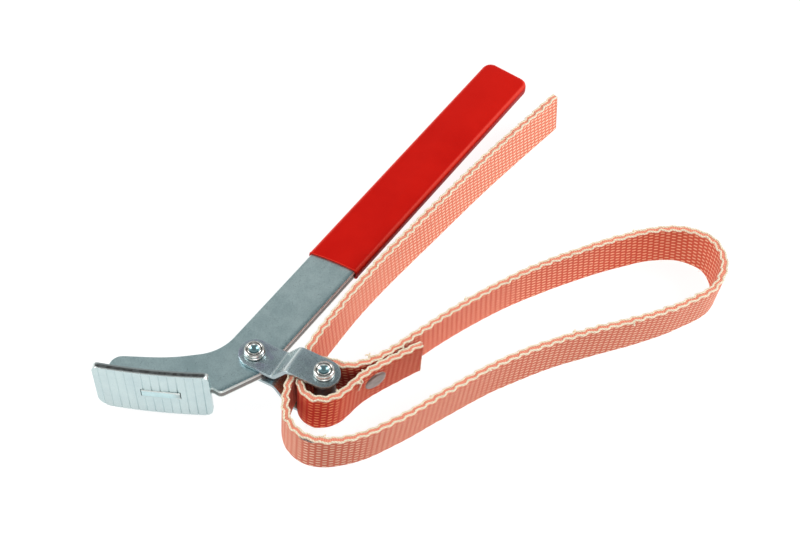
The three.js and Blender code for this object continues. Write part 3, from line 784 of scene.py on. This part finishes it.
def zinc(name, light, dark, roughness, dress_up):
    """Zinc plate over pressed steel: cloudy, with a fine crystalline grain and faint rubbed scratches.
    dress_up(graph, colour) adds what belongs to one piece only."""
    g = Graph(name, light, roughness, metallic=1.0)
    cloud = g.noise(9, 3, 0.6)
    grain = g.noise(0.55, 3, 0.7)
    speck = g.cells(0.8)
    scratch = g.noise(0.35, 1, 0.5, stretch=(0.06, 1, 1), distortion=0.4)
    shade = g.step(cloud * 0.5 + grain * 0.5, 0.34, 0.66)
    g.set("Base Color", dress_up(g, g.mix(shade, dark, light)))
    g.set("Roughness", g.step(grain, 0.3, 0.7, roughness - 0.05, roughness + 0.09)
          + g.step(scratch, 0.62, 0.72, 0, -0.06))
    g.bump(grain * 0.012 + speck * 0.004 + g.step(scratch, 0.62, 0.70) * -0.004 + cloud * 0.02, 0.55)
    return g.material


# the heel pad's outer face is part of a cylinder: middle of the face, direction that it faces, radius
HEEL_MID = (-43.42, 26.29)
HEEL_OUT = math.radians(209.2)
HEEL_CROWN_R = 300
HEEL_CENTRE = (
    HEEL_MID[0] - HEEL_CROWN_R * math.cos(HEEL_OUT),
    HEEL_MID[1] - HEEL_CROWN_R * math.sin(HEEL_OUT),
)
# the head's lower edge as a straight line: its unit normal, and its distance from the pivot
HEAD_EDGE_NORMAL = (0.408, 0.913)
HEAD_EDGE_AWAY = 10.54
HEAD_START_X = -5  # where the handle's straight edge turns into the head's
TENON_X = (-40, -35)  # the tenon begins between these
# Painted shade with a brownish painted reflection of the webbing for sheared sides, and a painted highlight
# for broken edges.
SIDE_SHADE_AND_REFLECTION = (0.20, 0.165, 0.15)
EDGE_HIGHLIGHT = (0.88, 0.93, 0.90)


def sheared_sides(g, colour, side_strength, highlight_strength, upper_side_highlight=None):
    """Sheared sides painted darker and brownish, as painted shade with a painted reflection of the webbing,
    under a painted highlight on the broken edge. The last mask, if given, is 1 where the upper part of the
    sheared face gets the same painted highlight."""
    up = g.absolute(g.facing_up())
    streaks = g.noise(0.5, 2, 0.6, stretch=(1, 1, 0.12))
    side = (1.0 - g.step(up, 0.30, 0.62)) * side_strength
    bevel = g.step(up, 0.34, 0.60) * (1.0 - g.step(up, 0.86, 0.985))
    if upper_side_highlight:
        bevel = g.math("MAXIMUM", bevel, (1.0 - g.step(up, 0.8, 0.95)) * upper_side_highlight)
    colour = g.mix(side * g.step(streaks, 0.25, 0.6, 0.75, 1.0), colour, SIDE_SHADE_AND_REFLECTION)
    return g.mix(bevel * highlight_strength, colour, EDGE_HIGHLIGHT)


def lever_dress(g, colour):
    """Darker towards the head, with painted shade along the plate's rolled edge on its lower side."""
    x, y, z = g.design_place()
    along = g.step(x, -35, 62, 0.0, 1.0)
    colour = g.mix(along, g.mix(1.0, colour, (0.88, 0.91, 0.92), "MULTIPLY"), colour)
    handle_edge = g.step(y - PLATE_Y_LOW, 0.4, 3.4)
    head_inwards = y * HEAD_EDGE_NORMAL[1] + x * HEAD_EDGE_NORMAL[0] + HEAD_EDGE_AWAY
    head_edge = g.step(head_inwards, 0.3, 3.6)
    rolled = g.mix(g.step(x, HEAD_START_X - 1, HEAD_START_X + 1), head_edge, handle_edge)
    rough = g.noise(0.7, 2, 0.6)
    # Painted shade on the rolled lower edge, in patches, darkest at the edge.
    deep = (1.0 - rolled) * g.step(rough, 0.3, 0.6, 0.35, 0.8)
    colour = g.mix(deep, colour, (0.10, 0.20, 0.23))
    off_tenon = g.step(x, *TENON_X)
    # Painted highlight on the upper part of the sheared face, off the tenon.
    upper_side_highlight = g.step(g.absolute(z), 1.2, 1.45) * off_tenon
    return sheared_sides(g, colour, 0.92 * off_tenon, 0.8, upper_side_highlight)


def heel_dress(g, colour):
    """The pad's narrow top and bottom faces are painted dark, darkest in a patchy band behind the outer rim,
    with painted highlights along the rims.
    """
    x, y, _ = g.design_place()
    east, north = x - HEEL_CENTRE[0], y - HEEL_CENTRE[1]
    deep = HEEL_CROWN_R - g.math("SQRT", east * east + north * north)  # from the outer face inwards
    up = g.absolute(g.facing_up())
    top = g.step(up, 0.80, 0.92)
    band = g.step(deep, 0.55, 0.85) * (1.0 - g.step(deep, 2.0, 2.5))
    rim = g.step(up, 0.2, 0.4) * (1.0 - top)
    patchy = g.step(g.noise(2.5, 2, 0.6), 0.35, 0.65, 0.7, 0.95)
    colour = g.mix(top * 0.45, colour, (0.30, 0.31, 0.31))
    colour = g.mix(top * band * patchy, colour, (0.09, 0.09, 0.088))
    # Painted highlight along the rims.
    rim_highlight = g.math("MAXIMUM", rim, top * (1.0 - g.step(deep, 0.3, 0.6)))
    return g.mix(rim_highlight * 0.72, colour, (0.80, 0.84, 0.82))


def link_dress(g, colour):
    """A blue-violet passivation bloom in patches, darker towards the strap pin, with painted shade on the
    sheared sides and a painted edge highlight.
    """
    x, y, _ = g.design_place()
    away = g.math("SQRT", x * x + y * y)
    ring = g.step(away, 4.8, 6.4) * (1.0 - g.step(away, 8.5, 13))
    bloom = g.step(g.noise(5, 2, 0.5), 0.42, 0.60, 0.15, 0.6)
    colour = g.mix(g.math("MAXIMUM", ring * bloom, bloom * 0.25), colour, (0.36, 0.37, 0.52))
    colour = g.mix(g.step(0.0 - y - x * 0.3, 30, 46, 0, 0.62), colour, (0.20, 0.25, 0.28))
    return sheared_sides(g, colour, 0.3, 0.6)


def steel(name, base, roughness, grain_mm=0.5, bump=0.006):
    """Turned or pressed steel: fine grain, soft stains."""
    g = Graph(name, base, roughness, metallic=1.0)
    grain = g.noise(grain_mm, 3, 0.6)
    stain = g.noise(2.4, 3, 0.6)
    darker = tuple(v * 0.72 for v in base)
    g.set("Base Color", g.mix(g.step(stain, 0.38, 0.62), darker, base))
    g.set("Roughness", g.step(stain * 0.5 + grain * 0.5, 0.35, 0.65, roughness - 0.04, roughness + 0.08))
    g.bump(grain * bump + stain * bump * 2)
    return g.material


def staked_pin(name):
    """Bright turned steel with a mirror-like dimple painted dark teal as painted shade and reflection,
    painted shade in the gap round the pin, and fine turning rings.
    """
    g = Graph(name, (0.86, 0.86, 0.83), 0.14, metallic=1.0)
    radius = g.attribute("radius")
    # Painted shade and reflection: the dimple is painted dark teal.
    dimple_shade = 1.0 - g.step(radius, 2.25, 2.62)
    stain = g.step(g.noise(1.6, 3, 0.6), 0.4, 0.62)
    bright = g.mix(stain, (0.62, 0.62, 0.58), (0.90, 0.90, 0.87))
    # Painted shade in the gap between the pin and its collar.
    gap_shade = g.step(g.absolute(radius - 3.4), 0.05, 0.28, 0.85, 0)
    bright = g.mix(gap_shade, bright, (0.08, 0.08, 0.075))
    g.set("Base Color", g.mix(dimple_shade, bright, (0.24, 0.40, 0.43)))
    g.set("Roughness", g.step(stain, 0, 1, 0.2, 0.11))
    rings = g.sin(radius * (TAU / 0.16))
    g.bump(rings * 0.0012 + g.noise(0.5, 3, 0.6) * 0.004)
    return g.material


def dipped_coat(name):
    """Red dipped PVC with a fine orange peel, with painted shade on the sides and a painted highlight on the
    rounded edges.
    """
    g = Graph(name, (0.60, 0.007, 0.003), 0.36, Specular_IOR_Level=0.1)
    peel = g.noise(1.5, 2, 0.45)
    fine = g.noise(0.35, 2, 0.5)
    sag = g.noise(14, 2, 0.5)
    x, _, _ = g.design_place()
    shade = g.step(fine * 0.6 + sag * 0.4, 0.35, 0.65)
    colour = g.mix(shade, (0.545, 0.0048, 0.0018), (0.625, 0.0082, 0.0034))
    colour = g.mix(g.step(x, 150, 215, 0, 0.35), colour, (0.70, 0.012, 0.005))
    up = g.absolute(g.facing_up())
    # Painted shade on the sides and a painted highlight on the rounded edges, by how far the surface faces
    # up.
    side = 1.0 - g.step(up, 0.12, 0.42)
    rim = g.step(up, 0.30, 0.62) * (1.0 - g.step(up, 0.86, 0.985))
    colour = g.mix(side * 0.75, colour, (0.36, 0.003, 0.0015))
    colour = g.mix(rim * 0.75, colour, (0.86, 0.055, 0.03))
    g.set("Base Color", colour)
    g.set("Roughness", g.step(peel, 0.3, 0.7, 0.36, 0.44))
    g.bump(peel * 0.016 + fine * 0.004, 0.7)
    return g.material


RIDGE_PITCH = 1.05  # of the slanting yarns on the webbing's edge
PLY_PITCH = 0.52
CROSS_PITCH = 0.75


def woven(name):
    """Salmon webbing with cream floats in a brick pattern, and a plain ridge along each edge."""
    g = Graph(name, (0.8, 0.27, 0.19), 0.85, Sheen_Weight=0.1, Sheen_Roughness=0.5, Specular_IOR_Level=0.2)
    s, v = g.uv("weave")
    wobble = g.noise(2.2, 2, 0.5)
    z = v + (wobble - 0.5) * 0.5
    turn = s * (math.pi / COLUMN)  # half a turn for every column
    column = g.cos(turn + z * 0.08)
    column = column * (1.22 - column * column * 0.22)  # slightly longer floats than a plain wave gives
    floats = column * g.cos(z * (TAU / ROW) + g.sin(turn * 2) * 0.15)
    patchy = g.noise(0.9, 2, 0.6)
    dots = g.step(floats + (patchy - 0.5) * 0.35, 0.34, 0.66)
    plies = g.sin(v * (TAU / PLY_PITCH) + s * 2.1)
    cross = g.sin(s * (TAU / CROSS_PITCH) - v * 1.4)
    on_edge = g.step(g.absolute(v), HALF_H - 0.2, HALF_H + 0.2)
    # The deep-red share mixes the dye with painted shade and red light reflected inside the loop and under
    # the links.
    dye_and_shade = g.attribute("dye_and_shade")
    light_and_shade = g.attribute("light_and_shade")
    fade = g.step(g.noise(16, 2, 0.5), 0.3, 0.7)
    body = g.mix(dye_and_shade, (0.73, 0.200, 0.118), (0.60, 0.036, 0.007))
    body = g.mix(fade * 0.2, body, g.mix(dye_and_shade, (0.80, 0.27, 0.17), (0.66, 0.08, 0.028)))
    between = g.step(g.cos(z * (2 * TAU / ROW)), -0.3, 0.9) * (1.0 - dots)
    body = g.mix(between * 0.35, body, g.mix(dye_and_shade, (0.56, 0.10, 0.05), (0.42, 0.015, 0.004)))
    dot_colour = g.mix(dye_and_shade, (0.97, 0.70, 0.51), (0.95, 0.42, 0.18))
    colour = g.mix(dots, body, dot_colour)
    colour = g.mix(g.step(plies, -1, -0.2, 0.05, 0), colour, (0.45, 0.06, 0.03))
    # Painted light and shade: the brightness multiplier darkens or lightens the cloth.
    colour = g.mix(1.0, colour, g.grey(light_and_shade), "MULTIPLY")
    ridge_yarn = g.sin(s * (TAU / RIDGE_PITCH) + v * 2.0)
    ridge = g.mix(g.step(ridge_yarn, -0.8, 0.9), (0.84, 0.25, 0.155), (0.93, 0.38, 0.27))
    colour = g.mix(on_edge, colour, ridge)
    g.set("Base Color", colour)
    g.set("Roughness", g.step(dots, 0, 1, 0.9, 0.72))
    lay = dots * 0.05 + plies * 0.012 + cross * 0.01
    edge_lay = ridge_yarn * 0.05
    g.bump(lay * (1.0 - on_edge) + edge_lay * on_edge + patchy * 0.05)
    return g.material


def thread(name, light, dark):
    """Spun yarn: twisted plies, soft and matt."""
    g = Graph(name, light, 0.9, Sheen_Weight=0.3, Sheen_Roughness=0.5, Specular_IOR_Level=0.2)
    s, k = g.uv("thread")
    plies = g.sin(s * 4.2 - k * (TAU / 4))
    dirt = g.step(g.noise(4, 3, 0.6), 0.5, 0.72)
    tone = g.mix(g.step(plies, -1, 0.4), dark, light)
    g.set("Base Color", g.mix(dirt * 0.3, tone, (0.66, 0.46, 0.28)))
    g.set("Roughness", g.step(plies, -1, 1, 0.95, 0.8))
    g.bump(plies * 0.05 + g.noise(0.25, 2, 0.6) * 0.05)
    return g.material


MATERIALS = {
    "zinc_plate": zinc("zinc_plate", (0.67, 0.85, 0.86), (0.50, 0.67, 0.69), 0.36, lever_dress),
    "zinc_heel": zinc("zinc_heel", (0.575, 0.69, 0.69), (0.50, 0.62, 0.635), 0.34, heel_dress),
    "zinc_link": zinc("zinc_link", (0.52, 0.66, 0.68), (0.38, 0.50, 0.53), 0.29, link_dress),
    "bright_steel": staked_pin("bright_steel"),
    "dull_steel": steel("dull_steel", (0.30, 0.29, 0.28), 0.5),
    "rivet_steel": steel("rivet_steel", (0.31, 0.27, 0.25), 0.36, 0.8, 0.02),
    "red_pvc": dipped_coat("red_pvc"),
    "webbing": woven("webbing"),
}
YARN = thread("edge_yarn", (0.97, 0.89, 0.70), (0.84, 0.68, 0.47))
SOILED = thread("soiled_yarn", (0.30, 0.27, 0.24), (0.10, 0.09, 0.08))
FIBRE = thread("loose_fibre", (0.90, 0.74, 0.60), (0.80, 0.55, 0.42))


def dress(obj, material):
    obj.data.materials.clear()
    obj.data.materials.append(material)


SMOOTH_ANGLE = math.radians(34)


def smooth_group():
    """Shade smooth except across sharp edges."""
    group = bpy.data.node_groups.new("smooth_by_angle", "GeometryNodeTree")
    group.interface.new_socket("Geometry", in_out="INPUT", socket_type="NodeSocketGeometry")
    group.interface.new_socket("Geometry", in_out="OUTPUT", socket_type="NodeSocketGeometry")
    nodes, links = group.nodes, group.links
    start = nodes.new("NodeGroupInput")
    end = nodes.new("NodeGroupOutput")
    angle = nodes.new("GeometryNodeInputMeshEdgeAngle")
    soft = nodes.new("FunctionNodeCompare")
    soft.data_type = "FLOAT"
    soft.operation = "LESS_THAN"
    soft.inputs[1].default_value = SMOOTH_ANGLE
    edges = nodes.new("GeometryNodeSetShadeSmooth")
    edges.domain = "EDGE"
    faces = nodes.new("GeometryNodeSetShadeSmooth")
    faces.domain = "FACE"
    links.new(angle.outputs["Unsigned Angle"], soft.inputs[0])
    links.new(start.outputs[0], edges.inputs["Geometry"])
    links.new(soft.outputs[0], edges.inputs["Shade Smooth"])
    links.new(edges.outputs[0], faces.inputs["Geometry"])
    links.new(faces.outputs[0], end.inputs[0])
    return group


SMOOTH = smooth_group()


WELD_DISTANCE = 1e-6
BEVEL_ANGLE = math.radians(50)


def refine(obj, bevel=0.0):
    """Weld, round the sharp edges by `bevel` millimetres and shade smooth, as modifiers."""
    weld = obj.modifiers.new("weld", "WELD")
    weld.merge_threshold = WELD_DISTANCE
    if bevel:
        soften = obj.modifiers.new("bevel", "BEVEL")
        soften.width = bevel * MM
        soften.segments = 2
        soften.limit_method = "ANGLE"
        soften.angle_limit = BEVEL_ANGLE
    shade = obj.modifiers.new("smooth_by_angle", "NODES")
    shade.node_group = SMOOTH


slots = {part["node"]: part["material_slot"] for part in frame["record"]["subparts"]}
BEVELS = {"lever_plate": 0.12, "upper_link": 0.28, "lower_link": 0.28, "heel_pad": 0.34}
for node, obj in frame["nodes"].items():
    dress(obj, MATERIALS[slots[node]])
    refine(obj, BEVELS.get(node, 0.0))

for obj in (strap_loop, strap_throat, strap_tail):
    dress(obj, MATERIALS["webbing"])
for obj in (yarns_loop, yarns_throat, yarns_tail, fray_short, fray_tail, loose_loop):
    dress(obj, YARN)
dress(dirty_snag, SOILED)
for obj in (fuzz_loop, fuzz_tail):
    dress(obj, FIBRE)
for obj in (rivet_head, clench_washer):
    dress(obj, MATERIALS["rivet_steel"])
for obj, node in pin_pieces:
    dress(obj, MATERIALS["bright_steel"])
dress(grip_lip, MATERIALS["red_pvc"])

# ---- bodies, and the imported parts that are hidden ----
for obj in (strap_loop, yarns_loop, fuzz_loop, fray_short, loose_loop, dirty_snag, rivet_head, clench_washer):
    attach(obj, "strap_loop")
for obj in (fuzz_tail, fray_tail):
    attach(obj, "free_tail")
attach(grip_lip, "handle")
for obj in (strap_throat, yarns_throat):
    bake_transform(obj)
for obj in (strap_tail, yarns_tail):
    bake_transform(obj)

for obj, node in pin_pieces:
    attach(obj, "shackle")
    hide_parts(node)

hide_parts("strap_short_end", "strap_eye", "strap_back_run", "strap_far_turn", "strap_front_run",
            "strap_near_turn")
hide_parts("strap_throat")
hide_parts("strap_tail")
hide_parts("strap_rivet")
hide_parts("rivet_washer")

# ---- floor ----
FLOOR_HALF = 6.0


def floor():
    """A plain sheet of pale paper that glows a little, so that it stays white."""
    mesh = bpy.data.meshes.new("floor")
    corners = [(x * FLOOR_HALF, y * FLOOR_HALF, 0) for x, y in ((-1, -1), (1, -1), (1, 1), (-1, 1))]
    mesh.from_pydata(corners, [], [(0, 1, 2, 3)])
    obj = bpy.data.objects.new("floor", mesh)
    collection.objects.link(obj)
    g = Graph("floor_paper", (0.24, 0.24, 0.24), 0.9, Specular_IOR_Level=0.1, Emission_Color=(1, 1, 1, 1),
              Emission_Strength=0.89)
    g.set("Base Color", g.mix(g.noise(3, 3, 0.6), (0.23, 0.23, 0.23), (0.25, 0.25, 0.25)))
    dress(obj, g.material)
    return obj


floor()

# ---- lights ----
FORWARD = Vector((*CAMERA_ALONG, 0))
RIGHT = Vector((CAMERA_ALONG[1], -CAMERA_ALONG[0], 0))
CENTRE = Vector((0.0, 0.0, 0.02))


def softbox(name, side, ahead, height, width, length, power):
    """A rectangular soft light aimed at the object, placed by the camera's right and forward directions."""
    data = bpy.data.lights.new(name, "AREA")
    data.shape = "RECTANGLE"
    data.size = width
    data.size_y = length
    data.energy = power
    obj = bpy.data.objects.new(name, data)
    collection.objects.link(obj)
    obj.location = CENTRE + RIGHT * side + FORWARD * ahead + Vector((0, 0, height))
    obj.rotation_euler = (CENTRE - obj.location).to_track_quat("-Z", "Y").to_euler()
    return obj


softbox("softbox_left", -1.05, 0.05, 0.75, 0.7, 0.9, 7)
softbox("softbox_right", 1.05, 0.05, 0.75, 0.7, 0.9, 10)
softbox("softbox_front", 0.0, -1.3, 0.8, 0.9, 0.5, 2)

world = bpy.data.worlds.new("studio")
bpy.context.scene.world = world
world.use_nodes = True
tree = world.node_tree
background = tree.nodes["Background"]
direction = tree.nodes.new("ShaderNodeTexCoord")
split = tree.nodes.new("ShaderNodeSeparateXYZ")
ramp = tree.nodes.new("ShaderNodeValToRGB")
tree.links.new(direction.outputs["Generated"], split.inputs[0])
tree.links.new(split.outputs[2], ramp.inputs[0])
tree.links.new(ramp.outputs[0], background.inputs[0])
# brightness by the sine of the elevation: pale near the horizon, dimmer overhead
WORLD = ((0.0, 0.62), (0.55, 0.52), (0.74, 0.42), (0.84, 0.30), (1.0, 0.34))
while len(ramp.color_ramp.elements) < len(WORLD):
    ramp.color_ramp.elements.new(0.5)
for element, (height, grey) in zip(ramp.color_ramp.elements, WORLD):
    element.position = height
    element.color = (grey, grey, grey, 1)
background.inputs[1].default_value = 1.0

bpy.context.scene.view_settings.view_transform = "Standard"
